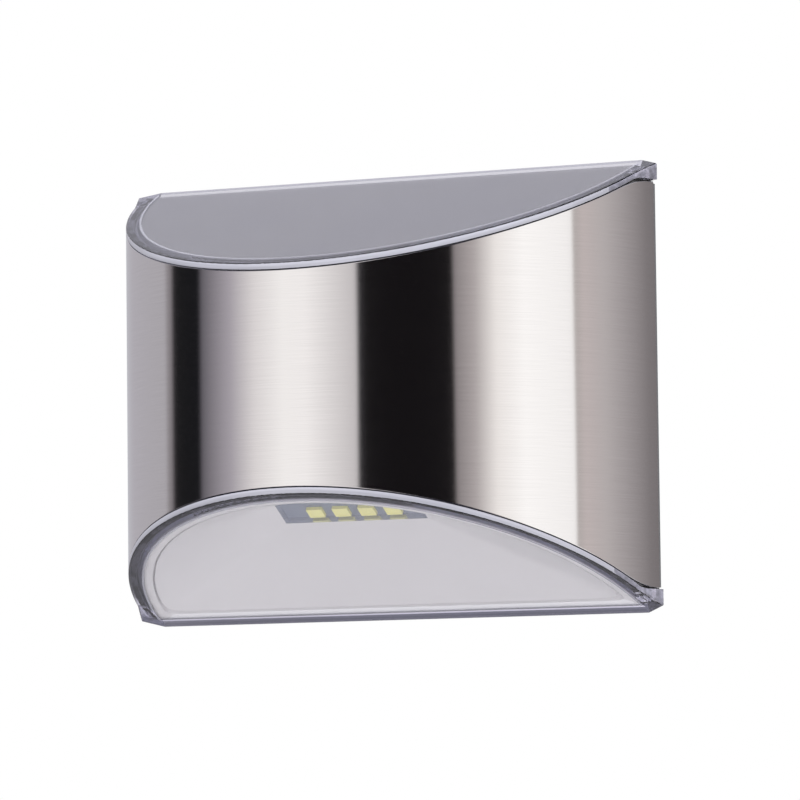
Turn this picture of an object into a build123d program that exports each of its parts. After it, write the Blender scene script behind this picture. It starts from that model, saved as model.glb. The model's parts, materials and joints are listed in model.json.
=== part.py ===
from build123d import *
import math
import os

# Half-round solar wall light, in millimetres and degrees.
# The body is built about its own middle: x to the right, y = 0 at the back plane
# with the body towards -y, z = 0 at half height. At the end everything is moved so
# that the origin is the middle of the wall bracket's wall face.

# Body
body_radius = 60.0
axis_behind_back = 3.0
back_height = 96.0
slant = 23.0
corner_clip_x = 3.0
corner_clip_y = 3.0
corner_flare = 1.2
corner_flare_length = 10.0

# Brushed steel band
steel_thickness = 0.5
steel_setback = 1.5
band_inset = 5.2
band_height = back_height - 2 * band_inset
rim_drop = 1.55
band_knee_radius = 30.0
band_fold = 2.6
band_fold_relief = 1.5
band_fit = 0.2

# Housing
housing_wall = 1.2
housing_back_gap = 0.1
shelf_thickness = 1.6
ledge_thickness = 1.2
ledge_width = 2.4
ledge_gap = 0.2
boss_diameter = 7.0
boss_length = 13.0
boss_gap = 0.2
boss_end_wall = 2.0
boss_rib = 1.6
weld = 0.1
wire_hole_diameter = 5.0
wire_hole_from_board = 12.0
wire_hole_y = -14.0

# Clear covers and their seals
rim_gap = 0.3
rim_edge = 0.35
rim_knee_radius = 6.0
seal_gap = 0.1
cover_drop = 1.0
cover_back_wall = 1.3
rib_thickness = 0.85
rib_drop = 3.1
seal_thickness = 0.5
cover_fit = 0.15
core_gap = 3.4
core_length = 3.6
core_under_face = 1.2
core_corner = 0.6
core_wall = 0.85

# Solar panel
panel_gap = 0.15
panel_thickness = 2.2
panel_fit = 0.2
panel_back_fit = 0.25

# Reflector and lens side
flange_gap = 0.2
flange_thickness = 1.2
flange_width = 2.4
flange_back_width = 2.6
reflector_wall = 1.2
hip_angle = 36.0
window_length = 32.8
window_width = 8.0
window_depth = 1.6
window_before_box = 3.65
window_back_z = -0.2825 * back_height
window_tilt = 32.0
ear_diameter = 5.0
ear_depth = 4.0
ear_offset = 3.4

# LED board
led_count = 4
led_pitch = 5.95
led_length = 3.5
led_width = 2.8
led_height = 0.8
led_row = 2.0
led_rim = 0.35
led_well = 0.1
led_board_margin = 7.0
led_board_front = 2.5
led_board_thickness = 1.6
led_screw_diameter = 2.0
led_screw_length = 4.0
led_hole_depth = 2.7
led_screw_head = 3.6
led_screw_hole_fit = 0.1
led_pad_x = -13.0
led_pad_row = 1.0
small_head_height = 1.2

# Back plate
plate_lip = 1.3
plate_step = 1.3
plate_side_fit = 0.3
step_margin = 0.4
step_top_margin = 1.3
screw_inset_x = 11.0
screw_inset_z = 13.8
screw_diameter = 2.9
screw_length = 11.0
screw_head_diameter = 5.6
screw_head_height = 1.3
screw_recess = 1.5
screw_fit = 0.05
recess_fit = 0.3

# Wall bracket and the pocket it hangs in
bracket_width = 40.0
bracket_height = 9 / 32 * back_height
pocket_over_door = 2.5
bracket_thickness = 2.0
bracket_corner = 4.0
bracket_hole_diameter = 4.4
bracket_hole_spacing = 18.0
countersink_diameter = 6.6
hook_width = 10.0
hook_spacing = 24.0
hook_thickness = 1.5
hook_finger = 6.0
hook_leg_top = 4.0
wall_gap = 0.5
pocket_floor = 2.0
pocket_fit = 0.15
hook_fit = 0.2
lift_spare = 0.5
shroud_wall = 1.2

# Battery, its box and door
battery_diameter = 14.5
battery_length = 49.0
battery_button_diameter = 5.5
battery_button_height = 1.6
battery_edge = 0.7
battery_end_sink = 0.4
battery_fit = 0.4
box_over_window = 5.22
spring_length = 5.0
spring_half_turns = 5
spring_wire = 0.7
spring_base_radius = 5.0
spring_tip_radius = 2.6
spring_weld = 0.15
contact_thickness = 0.4
contact_size = 11.0
box_wall = 1.5
door_thickness = 1.5
door_fit = 0.15
door_land = 2.4
door_pin_diameter = 1.6
door_pin_length = 1.6
door_pin_fit = 0.06
door_recess = 0.15
door_seal_width = 0.9
door_seal_depth = 0.6
door_seat_gap = 0.1
nail_notch_width = 10.0
nail_notch_depth = 0.9
grip_count = 5
grip_pitch = 2.4
grip_width = 1.0
grip_depth = 0.25
grip_length = 6.0
grip_rise = 4.0

# Slide switch
switch_inset = 18.0
switch_under_screw = 9.0
switch_travel = 3.0
knob_width = 4.2
knob_height = 3.2
knob_base = 6.0
knob_base_height = 5.0
knob_base_thickness = 1.2
knob_sink = 0.3
ridge_pitch = 1.2
ridge_width = 0.5
switch_wall = 1.0
switch_depth = 5.0
switch_fit = 0.1
switch_pin_length = 2.0
switch_pin_width = 1.0
switch_pin_pitch = 3.0
switch_pin_thickness = 0.4
dish_width = 15.0
dish_height = 9.0
dish_depth = 1.2

# Control board
control_from_screw = 10.0
control_under_boss = 2.5
control_width = 26.0
control_height = 18.0
control_thickness = 1.6
control_standoff = 6.0
post_diameter = 5.0
control_screw_diameter = 2.0
control_screw_length = 6.0
control_screw_head = 3.6
control_hole_fit = 0.1
control_hole_start = 4.0
chip_place = (-4.0, 3.0)
chip_width = 7.0
chip_height = 4.0
chip_thickness = 1.6
chip_standoff = 0.2
chip_pins = 4
chip_pin_width = 0.5
chip_pin_length = 1.0
chip_pin_height = 0.8
coil_place = (4.5, 1.0)
coil_diameter = 6.0
coil_length = 5.0
coil_flange = 1.0
coil_waist = 0.8
capacitor_place = (-5.5, -4.5)
capacitor_diameter = 5.0
capacitor_length = 7.0
capacitor_edge = 0.5

# Leads, with their ends on the control board given from its middle
lead_diameter = 1.3
lead_arc_share = 0.45
lead_exit = 5.0
lead_short_exit = 2.4
lead_spread = 2.6
lead_hole_fit = 0.2
contact_lead_rise = 3.5
panel_end = (4.5, 7.0)
led_end = (3.0, -6.0)
battery_left_end = (-11.0, -5.0)
battery_right_end = (10.5, -1.5)
switch_end = (11.0, 1.5)
switch_lead_pitch = 3.0

# Worked out from the sizes above
rise = math.tan(math.radians(slant))
reach = 1.2 * body_radius
inner_radius = body_radius - steel_thickness - band_fit
bore_radius = inner_radius - housing_wall
cover_radius = bore_radius - cover_fit
rib_radius = cover_radius - rib_thickness
plate_thickness = plate_lip + plate_step
rib_back = -cover_back_wall - rib_thickness
panel_back = rib_back - panel_back_fit
boss_start = -plate_thickness - boss_gap
shelf_drop = cover_drop + panel_gap + panel_thickness
flange_drop = cover_drop + flange_gap
screw_x = body_radius - screw_inset_x
screw_z = band_height / 2 - screw_inset_z
battery_y = -(door_recess + door_thickness + door_seal_depth + battery_fit + battery_diameter / 2)
cell_space = battery_length + battery_button_height + spring_length + 2 * contact_thickness
box_height = battery_diameter + 2 * battery_fit
box_front = battery_y - battery_diameter / 2 - battery_fit
battery_z = window_back_z + box_over_window + box_wall + box_height / 2
window_back_y = box_front - box_wall - window_before_box
door_width = cell_space + 2 * door_land
door_height = box_height + 2 * door_land
door_bottom = battery_z - door_height / 2
hinge_y = -(door_recess + door_thickness / 2)
hinge_z = door_bottom + door_thickness / 2
lift = hook_finger + lift_spare
pocket_depth = bracket_thickness - wall_gap + pocket_fit
pocket_low = door_bottom + door_height + pocket_over_door
bracket_z = pocket_low + hook_fit + lift + bracket_height / 2
finger_back = -pocket_depth - pocket_floor - hook_fit
finger_front = finger_back - hook_thickness
hook_top = bracket_z + hook_leg_top
switch_x = body_radius - switch_inset
switch_z = screw_z - switch_under_screw
control_x = control_from_screw - screw_x
control_z = screw_z - boss_diameter / 2 - control_under_boss - control_height / 2
wire_hole_x = control_x + wire_hole_from_board


def top_z(y, drop=0.0):
    """Height of the line parallel to the slanted top and 'drop' below it."""
    return back_height / 2 + y * rise - drop


def box(x, y, z):
    """Box between the given pairs of limits."""
    size = (max(x) - min(x), max(y) - min(y), max(z) - min(z))
    return Pos(sum(x) / 2, sum(y) / 2, sum(z) / 2) * Box(*size)


def across(*outline):
    """Prism across the whole width with the given side outline of (y, z) points."""
    return extrude(Plane.YZ * make_face(Polyline(*outline, close=True)), amount=reach, both=True)


def slab(drop, lower):
    """Layer under the slanted top, between two drops below it."""
    near, far = reach / 6, -reach
    return across(
        (near, top_z(near, drop)),
        (far, top_z(far, drop)),
        (far, top_z(far, lower)),
        (near, top_z(near, lower)),
    )


def half_round(radius, back):
    """Half-round column about the body's axis, cut flat at y = back."""
    plan = Pos(0, axis_behind_back) * Circle(radius)
    plan &= Pos(0, back - reach) * Rectangle(4 * reach, 2 * reach)
    return extrude(plan, amount=back_height, both=True)


def half_ring(outer, inner, back):
    """Wall of a half-round column, open at the back."""
    return half_round(outer, back) - half_round(inner, reach)


def band_side(grow, back, knee_radius):
    """Side view of the steel band, widened by 'grow' at its top and bottom edges."""
    edge = band_height / 2 + grow
    drop = rim_drop - grow
    knee = (edge - top_z(0, drop)) / rise
    front = top_z(-reach, drop)
    outline = Polyline(
        (back, -edge), (back, edge), (knee, edge), (-reach, front), (-reach, -front), (knee, -edge),
        close=True,
    )
    side = make_face(outline)
    knees = side.vertices().filter_by(lambda corner: abs(corner.X - knee) < 0.01)
    return extrude(Plane.YZ * fillet(knees, knee_radius), amount=reach, both=True)


def along_y(diameter, x, z, start, end):
    """Round bar along y, or the cutter of a round hole."""
    return Pos(x, (start + end) / 2, z) * Rot(90, 0, 0) * Cylinder(diameter / 2, abs(end - start))


def four_corners():
    """The places of the four back screws."""
    return [(side * screw_x, level * screw_z) for side in (-1, 1) for level in (-1, 1)]


def steel_cover():
    band = half_ring(body_radius, body_radius - steel_thickness, -steel_setback)
    folded = box(
        (-body_radius, body_radius),
        (-steel_setback, -steel_setback - steel_thickness),
        (band_fold_relief - band_height / 2, band_height / 2 - band_fold_relief),
    )
    folded &= half_round(body_radius, -steel_setback)
    folded -= box((band_fold - body_radius, body_radius - band_fold), (0, -reach), (-reach, reach))
    return (band + folded) & band_side(0, reach, band_knee_radius)


def housing():
    back = -steel_setback - steel_thickness - housing_back_gap
    wall = half_ring(inner_radius, bore_radius, back)
    shelf = half_round(bore_radius + weld, panel_back) & slab(shelf_drop, shelf_drop + shelf_thickness)
    shelf -= Pos(wire_hole_x, wire_hole_y, back_height / 2) * Cylinder(wire_hole_diameter / 2, back_height)
    ledge_top = max(rib_drop, flange_drop + flange_thickness) + ledge_gap
    ledge = half_ring(bore_radius + weld, bore_radius - ledge_width, panel_back)
    ledge &= mirror(slab(ledge_top, ledge_top + ledge_thickness), about=Plane.XY)
    body = (wall + shelf + ledge) & rim_side(seal_thickness + seal_gap)
    for x, z in four_corners():
        end = boss_start - boss_length
        outer_x = math.copysign(bore_radius, x)
        rib = box((x, outer_x), (boss_start, end), (z - boss_rib / 2, z + boss_rib / 2))
        body += rib & half_round(bore_radius + weld, 0)
        body += along_y(boss_diameter, x, z, boss_start, end)
    for x, z in four_corners():
        body -= along_y(screw_diameter + 2 * screw_fit, x, z, 0, boss_start - boss_length + boss_end_wall)
    return body


def rim_column():
    """Half-round column with its two back corners flared and cut off at a slant."""
    column = half_round(body_radius, 0)
    cut_x = math.sqrt(body_radius**2 - axis_behind_back**2) - corner_clip_x
    tip = (body_radius + corner_flare, -corner_clip_y)
    start_x = math.sqrt(body_radius**2 - (axis_behind_back + corner_flare_length) ** 2)
    flare = make_face(Polyline((0, 0), (cut_x, 0), tip, (start_x, -corner_flare_length), close=True))
    cut = make_face(Polyline((cut_x, 0), (reach, 0), (reach, tip[1]), tip, close=True))
    corner = extrude(flare, amount=back_height, both=True)
    waste = extrude(cut, amount=back_height, both=True)
    column += corner + mirror(corner, about=Plane.YZ)
    return column - waste - mirror(waste, about=Plane.YZ)


def rim_side(drop):
    """Side view of the space inside both rims, 'drop' away from them."""
    return band_side(rim_gap - drop, reach, rim_knee_radius)


def corner_cores():
    """Pockets that keep the walls even in the two back corners of a cover's rim."""
    back = -core_gap
    front = back - core_length
    low = band_height / 2
    side = make_face(Polyline(
        (back, low), (back, top_z(back, core_under_face)), (front, top_z(front, core_under_face)), (front, low),
        close=True,
    ))
    upper = side.vertices().filter_by(lambda corner: corner.Y > low + core_corner)
    pocket = extrude(Plane.YZ * fillet(upper, core_corner), amount=reach, both=True)
    return pocket & half_ring(body_radius - core_wall, cover_radius + core_wall / 2, 0)


def clear_cover():
    """Slanted clear cover: a rim over the band's edge, a window and a rib inside the housing."""
    rim = rim_column() & slab(0, 2 * back_height)
    rim &= box((-reach, reach), (reach, -reach), (0, back_height))
    rim -= rim_side(0) + corner_cores()
    window = half_round(cover_radius, -cover_back_wall) & slab(cover_drop / 2, rib_drop)
    hollow = half_round(rib_radius, rib_back) & slab(cover_drop, 2 * back_height)
    cover = rim + window - hollow
    face = cover.faces().filter_by(lambda part: part.normal_at().Z > 0.9).sort_by(SortBy.AREA)[-1]
    return fillet(face.edges(), rim_edge)


def cover_seal():
    """Rubber ring between a clear cover and the edge of the housing and back plate."""
    ring = half_round(inner_radius, -0.2) - half_round(bore_radius, -plate_lip)
    ring &= rim_side(0) - rim_side(seal_thickness)
    return ring & box((-reach, reach), (reach, -reach), (0, back_height))


def solar_panel():
    outline = half_round(rib_radius - panel_fit, panel_back)
    return outline & slab(cover_drop + panel_gap, shelf_drop)


def window_plane(height):
    """Plane of the LED window, 'height' above its inner edge, with y = 0 at the back edge."""
    tilt = math.radians(window_tilt)
    plane = Plane(
        origin=(0, window_back_y, window_back_z),
        x_dir=(1, 0, 0),
        z_dir=(0, math.sin(tilt), math.cos(tilt)),
    )
    return plane.offset(height)


def flange_outline(inset_side, inset_back):
    """Outline of the reflector's mouth on its slanted base, as one line and three arcs."""
    radius = rib_radius - panel_fit - inset_side
    back = panel_back - inset_back
    widest = math.pi / 2 - math.asin((axis_behind_back - back) / radius)
    hip = math.radians(hip_angle)
    base = flange_drop

    def point(angle):
        y = axis_behind_back - radius * math.cos(angle)
        return (radius * math.sin(angle), y, -top_z(y, base))

    stops = [-widest, -hip, hip, widest]
    edges = [Line(point(widest), point(-widest))]
    for start, end in zip(stops, stops[1:]):
        edges.append(ThreePointArc(point(start), point((start + end) / 2), point(end)))
    return make_face(Wire(edges))


def hip_funnel(grow, height):
    """Hip-shaped solid from the reflector's mouth to the LED window."""
    mouth = flange_outline(flange_width - grow, flange_back_width - grow)
    opening = Pos(0, -window_width / 2) * Rectangle(window_length + 2 * grow, window_width + 2 * grow)
    return loft([mouth, window_plane(height) * opening], ruled=True)


def ear_places():
    """The two LED board screws, in the plane of the LED window."""
    return [(side * (window_length / 2 + ear_offset), -window_width / 2) for side in (-1, 1)]


def reflector():
    plate = half_round(rib_radius - panel_fit, panel_back)
    plate &= mirror(slab(flange_drop, flange_drop + flange_thickness), about=Plane.XY)
    shell = plate + hip_funnel(reflector_wall, window_depth)
    for x, y in ear_places():
        ear = Pos(x, y, -ear_depth / 2) * Cylinder(ear_diameter / 2, ear_depth)
        shell += window_plane(window_depth) * ear
    shell -= hip_funnel(0, 0)
    slot = Pos(0, -window_width / 2) * Box(window_length, window_width, 2 * (window_depth + weld))
    shell -= window_plane(0) * slot
    for x, y in ear_places():
        hole = Pos(x, y) * Cylinder((led_screw_diameter + screw_fit) / 2, 2 * led_hole_depth)
        shell -= window_plane(window_depth) * hole
    return shell


def led_board():
    length = window_length + 2 * led_board_margin
    width = window_width + 2 * led_board_front
    board = Pos(0, -window_width / 2, led_board_thickness / 2) * Box(length, width, led_board_thickness)
    for x, y in ear_places():
        board -= Pos(x, y) * Cylinder(led_screw_diameter / 2 + led_screw_hole_fit, 4 * led_board_thickness)
    return window_plane(window_depth) * board


def led(index):
    """Surface-mounted LED on the underside of its board, with a shallow phosphor well."""
    x = (index - (led_count - 1) / 2) * led_pitch
    chip = Pos(x, -led_row, led_height / 2) * Box(led_length, led_width, led_height)
    chip -= Pos(x, -led_row) * Box(led_length - 2 * led_rim, led_width - 2 * led_rim, 2 * led_well)
    return window_plane(window_depth - led_height) * chip


def pan_screw(diameter, length, head_diameter, head_height):
    """Screw along -z with its head's seat at z = 0 and a cross recess."""
    head = Pos(0, 0, head_height / 2) * Cylinder(head_diameter / 2, head_height)
    head = chamfer(head.edges().group_by(Axis.Z)[-1], head_height / 3)
    slot = Box(head_diameter * 0.55, diameter * 0.3, head_height)
    cross = Pos(0, 0, head_height) * (slot + Rot(0, 0, 90) * slot)
    shank = Pos(0, 0, -length / 2) * Cylinder(diameter / 2, length)
    tip = chamfer(shank.edges().group_by(Axis.Z)[0], diameter / 4)
    return head - cross + tip


def facing_back(x, y, z):
    """Location that turns +z towards the back, at the given place."""
    return Pos(x, y, z) * Rot(-90, 0, 0)


def led_screws():
    screw = pan_screw(led_screw_diameter, led_screw_length, led_screw_head, small_head_height)
    plane = window_plane(window_depth + led_board_thickness)
    return Compound([plane * (Pos(x, y) * screw) for x, y in ear_places()])


def back_screws():
    screw = pan_screw(screw_diameter, screw_length, screw_head_diameter, screw_head_height)
    return Compound([facing_back(x, -screw_recess, z) * screw for x, z in four_corners()])


def hook_places():
    return (-hook_spacing / 2, hook_spacing / 2)


def slot_limits():
    """Top and bottom of the back plate's hook slots."""
    return hook_top, hook_top - hook_thickness - lift - 2 * hook_fit


def back_plate():
    edge_x = math.sqrt(body_radius**2 - (axis_behind_back + steel_setback) ** 2) - plate_side_fit
    edge_z = band_height / 2 + rim_gap - seal_thickness
    plate = box((-edge_x, edge_x), (0, -plate_lip), (-edge_z, edge_z))
    step_x = body_radius - band_fold - step_margin
    step_z = band_height / 2 - step_top_margin
    plate += box((-step_x, step_x), (-plate_lip, -plate_thickness), (-step_z, step_z))
    plate += bracket_pocket_walls() + battery_box() + control_posts()
    for x, z in four_corners():
        plate -= along_y(screw_head_diameter + 2 * recess_fit, x, z, 1, -screw_recess)
        plate -= along_y(screw_diameter + 2 * recess_fit, x, z, 0, -2 * plate_thickness)
    plate -= bracket_pocket() + battery_space() + door_space() + switch_cut() + lead_holes()
    for x, z in control_screw_places():
        plate -= along_y(control_screw_diameter + screw_fit, x, z, -control_hole_start, -reach)
    return plate


def bracket_pocket_walls():
    half = bracket_width / 2 + hook_fit + box_wall
    floor = -pocket_depth - pocket_floor
    high = bracket_z + bracket_height / 2 + hook_fit
    walls = box((-half, half), (0, floor), (pocket_low - box_wall, high + box_wall))
    bottom = slot_limits()[1]
    for x in hook_places():
        side = hook_width / 2 + hook_fit + shroud_wall
        walls += box(
            (x - side, x + side),
            (floor, finger_front - hook_fit - shroud_wall),
            (bottom - shroud_wall, hook_top + hook_finger + hook_fit + shroud_wall),
        )
    return walls


def bracket_pocket():
    """Shallow pocket for the bracket, with a slot and a closed chamber for each hook."""
    half = bracket_width / 2 + hook_fit
    high = bracket_z + bracket_height / 2 + hook_fit
    pocket = box((-half, half), (1, -pocket_depth), (pocket_low, high))
    top, bottom = slot_limits()
    for x in hook_places():
        side = hook_width / 2 + hook_fit
        pocket += box((x - side, x + side), (0, finger_front - hook_fit), (bottom, top))
        chamber = (-pocket_depth - pocket_floor, finger_front - hook_fit)
        pocket += box((x - side, x + side), chamber, (bottom, hook_top + hook_finger + hook_fit))
    return pocket


def battery_box():
    half_x = cell_space / 2 + box_wall
    half_z = box_height / 2 + box_wall
    return box((-half_x, half_x), (-1, box_front - box_wall), (battery_z - half_z, battery_z + half_z))


def battery_space():
    half_x = cell_space / 2
    half_z = box_height / 2
    return box((-half_x, half_x), (1, box_front), (battery_z - half_z, battery_z + half_z))


def door_space():
    """Rebate, pin holes, seal groove and nail notch for the battery door."""
    half_x = door_width / 2 + door_fit
    low = door_bottom - door_fit
    high = door_bottom + door_height + door_fit
    floor = -door_recess - door_thickness - door_seat_gap
    space = box((-half_x, half_x), (1, floor), (low, high))
    hole_length = door_width + 2 * (door_pin_length + door_fit)
    hole = Cylinder(door_pin_diameter / 2 + door_pin_fit, hole_length)
    hole = Pos(0, hinge_y, hinge_z) * Rot(0, 90, 0) * hole
    notch_x = (-nail_notch_width / 2, nail_notch_width / 2)
    notch = box(notch_x, (1, -nail_notch_depth), (door_bottom, pocket_low + weld))
    return space + hole + notch + seal_ring(floor, floor - door_seal_depth)


def seal_ring(start, end):
    """Rectangular ring round the mouth of the battery box."""
    inner_x = cell_space / 2 + (door_land - door_seal_width) / 2
    inner_z = box_height / 2 + (door_land - door_seal_width) / 2
    outer_x = inner_x + door_seal_width
    outer_z = inner_z + door_seal_width
    ring = box((-outer_x, outer_x), (start, end), (battery_z - outer_z, battery_z + outer_z))
    return ring - box((-inner_x, inner_x), (start, end), (battery_z - inner_z, battery_z + inner_z))


def door_seal():
    floor = -door_recess - door_thickness - door_seat_gap
    return seal_ring(floor, floor - door_seal_depth)


def battery_door():
    """Door with a rounded lower edge, two end pins and grip grooves near its free edge."""
    half = door_width / 2
    back = -door_recess
    front = back - door_thickness
    door = box((-half, half), (back, front), (hinge_z, door_bottom + door_height))
    door += Pos(0, hinge_y, hinge_z) * Rot(0, 90, 0) * Cylinder(door_thickness / 2, door_width)
    pin = Cylinder(door_pin_diameter / 2, door_width + 2 * door_pin_length)
    door += Pos(0, hinge_y, hinge_z) * Rot(0, 90, 0) * pin
    for number in range(grip_count):
        x = (number - (grip_count - 1) / 2) * grip_pitch
        door -= Pos(x, back, battery_z + grip_rise) * Box(grip_width, 2 * grip_depth, grip_length)
    return door


def battery_axis(x):
    return Pos(x, battery_y, battery_z) * Rot(0, 90, 0)


def battery_start():
    """Left end of the cell, against the spring."""
    return -cell_space / 2 + contact_thickness + spring_length


def battery():
    """Round cell with rolled edges and a raised positive button in a sunk end."""
    radius = battery_diameter / 2
    can = Pos(0, 0, battery_length / 2) * Cylinder(radius, battery_length)
    ends = can.edges().group_by(Axis.Z)
    can = chamfer(ends[0] + ends[-1], battery_edge)
    can -= Pos(0, 0, battery_length) * Cylinder(radius - 2 * battery_edge, 2 * battery_end_sink)
    button_length = battery_length + battery_button_height
    can += Pos(0, 0, button_length / 2) * Cylinder(battery_button_diameter / 2, button_length)
    return battery_axis(battery_start()) * can


def spring_contact():
    """Conical coil on a square plate, at the negative end."""
    plate = Box(contact_size, contact_size, contact_thickness)
    plate = Pos(0, 0, contact_thickness / 2) * plate
    radius = spring_base_radius
    narrowing = (spring_base_radius - spring_tip_radius) / (2 * spring_half_turns)
    climb = (spring_length - spring_wire - weld) / spring_half_turns
    start = Vector(radius, 0, contact_thickness + spring_wire / 2 - spring_weld)
    path = []
    for number in range(spring_half_turns):
        side = (-1) ** number
        radius -= narrowing
        end = start + Vector(-side * 2 * radius, 0, climb)
        middle = start + Vector(-side * radius, side * radius, climb / 2)
        path.append(ThreePointArc(start, middle, end))
        start = end
    wire = Wire(path)
    section = Plane(origin=wire @ 0, z_dir=wire % 0) * Circle(spring_wire / 2)
    coil = sweep(section, path=wire)
    return battery_axis(-cell_space / 2) * (plate + coil)


def plate_contact():
    """Flat contact at the positive end."""
    plate = Pos(0, 0, -contact_thickness / 2) * Box(contact_size, contact_size, contact_thickness)
    return battery_axis(cell_space / 2) * plate


def knob_slot(fit):
    """Limits in x of the opening that the switch knob travels in."""
    return switch_x - knob_width / 2 - fit, switch_x + knob_width / 2 + switch_travel + fit


def switch_front():
    """Front face of the switch case, inside the light."""
    return -plate_thickness - switch_depth


def switch_cut():
    """Finger dish and slot in the back plate."""
    middle = switch_x + switch_travel / 2
    dish = Pos(middle, 0, switch_z) * Box(dish_width, 2 * dish_depth, dish_height)
    dish = chamfer(dish.faces().sort_by(Axis.Y)[0].edges(), dish_depth / 2)
    slot = box(
        knob_slot(switch_fit),
        (0, -plate_thickness - weld),
        (switch_z - knob_height / 2 - switch_fit, switch_z + knob_height / 2 + switch_fit),
    )
    return dish + slot


def switch_pins():
    """The places in x of the three solder pins, of which the first two are wired."""
    return [switch_x + switch_travel / 2 + shift * switch_pin_pitch for shift in (-1, 0, 1)]


def switch_body():
    """Open-backed case fixed inside the back plate."""
    left = switch_x - knob_base / 2 - switch_fit - switch_wall
    right = switch_x + knob_base / 2 + switch_travel + switch_fit + switch_wall
    half = knob_base_height / 2 + switch_fit + switch_wall
    case = box((left, right), (-plate_thickness, switch_front()), (switch_z - half, switch_z + half))
    case -= box(
        (left + switch_wall, right - switch_wall),
        (-plate_thickness, switch_front() + switch_wall),
        (switch_z - half + switch_wall, switch_z + half - switch_wall),
    )
    for x in switch_pins():
        case += box(
            (x - switch_pin_width / 2, x + switch_pin_width / 2),
            (switch_front(), switch_front() - switch_pin_length),
            (switch_z - switch_pin_thickness / 2, switch_z + switch_pin_thickness / 2),
        )
    return case


def switch_knob():
    """Slider at its left stop, with a ridged finger piece."""
    start = -plate_thickness - switch_fit
    knob = box(
        (switch_x - knob_base / 2, switch_x + knob_base / 2),
        (start, start - knob_base_thickness),
        (switch_z - knob_base_height / 2, switch_z + knob_base_height / 2),
    )
    knob += box(
        (switch_x - knob_width / 2, switch_x + knob_width / 2),
        (start - knob_base_thickness / 2, -knob_sink),
        (switch_z - knob_height / 2, switch_z + knob_height / 2),
    )
    for number in (-1, 0, 1):
        groove = Box(ridge_width, 2 * knob_sink, knob_height)
        knob -= Pos(switch_x + number * ridge_pitch, -knob_sink, switch_z) * groove
    return knob


def control_front():
    """Front face of the control board, on the ends of its posts."""
    return -plate_thickness - control_standoff


def control_screw_places():
    side = control_width / 2 - post_diameter / 2
    level = control_height / 2 - post_diameter / 2
    return [(control_x - side, control_z + level), (control_x + side, control_z - level)]


def control_posts():
    posts = [along_y(post_diameter, x, z, -1, control_front()) for x, z in control_screw_places()]
    return posts[0] + posts[1]


def control_board():
    back = control_front()
    board = box(
        (control_x - control_width / 2, control_x + control_width / 2),
        (back, back - control_thickness),
        (control_z - control_height / 2, control_z + control_height / 2),
    )
    for x, z in control_screw_places():
        board -= along_y(control_screw_diameter + 2 * control_hole_fit, x, z, 0, -reach)
    return board


def control_screws():
    screw = pan_screw(control_screw_diameter, control_screw_length, control_screw_head, small_head_height)
    seat = control_front() - control_thickness
    return Compound([Pos(x, seat, z) * Rot(90, 0, 0) * screw for x, z in control_screw_places()])


def on_board(place, part):
    """Put a component on the control board at a place from its middle, standing towards the front."""
    face = control_front() - control_thickness
    return Pos(control_x + place[0], face, control_z + place[1]) * Rot(90, 0, 0) * part


def charge_chip():
    """Chip with a row of bent pins on each long side."""
    case = Pos(0, 0, chip_standoff + chip_thickness / 2) * Box(chip_width, chip_height, chip_thickness)
    pin = Pos(0, 0, chip_pin_height / 2) * Box(chip_pin_width, chip_pin_length, chip_pin_height)
    for side in (-1, 1):
        for number in range(chip_pins):
            x = (number - (chip_pins - 1) / 2) * chip_width / chip_pins
            case += Pos(x, side * (chip_height + chip_pin_width) / 2) * pin
    return on_board(chip_place, case)


def boost_coil():
    """Drum coil: two flanges and a wound waist."""
    flange = Cylinder(coil_diameter / 2, coil_flange)
    drum = Pos(0, 0, coil_flange / 2) * flange + Pos(0, 0, coil_length - coil_flange / 2) * flange
    drum += Pos(0, 0, coil_length / 2) * Cylinder(coil_diameter / 2 - coil_waist, coil_length)
    return on_board(coil_place, drum)


def capacitor():
    can = Pos(0, 0, capacitor_length / 2) * Cylinder(capacitor_diameter / 2, capacitor_length)
    can = chamfer(can.edges().group_by(Axis.Z)[-1], capacitor_edge)
    return on_board(capacitor_place, can)


def wall_bracket():
    """Plate with two upturned hooks and two countersunk holes in line."""
    half = bracket_height / 2
    wall = wall_gap
    front = wall - bracket_thickness
    outline = RectangleRounded(bracket_width, bracket_height, bracket_corner)
    plate = extrude(outline, amount=bracket_thickness)
    plate = Pos(0, wall, bracket_z) * Rot(90, 0, 0) * plate
    for x in hook_places():
        side = (x - hook_width / 2, x + hook_width / 2)
        plate += box(side, (front, finger_front), (hook_top - hook_thickness, hook_top))
        plate += box(side, (finger_back, finger_front), (hook_top - hook_thickness, hook_top + hook_finger))
    for level in (-1, 1):
        z = bracket_z + level * bracket_hole_spacing / 2
        plate -= along_y(bracket_hole_diameter, 0, z, 2 * wall, 2 * front)
        sink = (countersink_diameter - bracket_hole_diameter) / 2
        cone = Cone(bracket_hole_diameter / 2, countersink_diameter / 2, sink)
        plate -= Pos(0, front + sink / 2, z) * Rot(90, 0, 0) * cone
    return plate


def lead(*points):
    """Insulated lead along straight runs joined by arcs as large as the runs allow."""
    spots = [Vector(point) for point in points]
    radii = []
    for before, at, after in zip(spots, spots[1:], spots[2:]):
        turn = math.radians((at - before).get_angle(after - at))
        run = min((at - before).length, (after - at).length)
        radii.append(lead_arc_share * run / math.tan(turn / 2))
    print("lead radii", [round(radius, 1) for radius in radii])
    route = FilletPolyline(*spots, radius=radii)
    section = Plane(origin=route @ 0, z_dir=route % 0) * Circle(lead_diameter / 2)
    return sweep(section, path=route)


def lead_holes():
    """Holes in the ends of the battery box for its two leads."""
    holes = [
        Pos(side * cell_space / 2, battery_y, battery_z + contact_lead_rise) * Rot(0, 90, 0)
        * Cylinder(lead_diameter / 2 + lead_hole_fit, 4 * box_wall)
        for side in (-1, 1)
    ]
    return holes[0] + holes[1]


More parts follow.
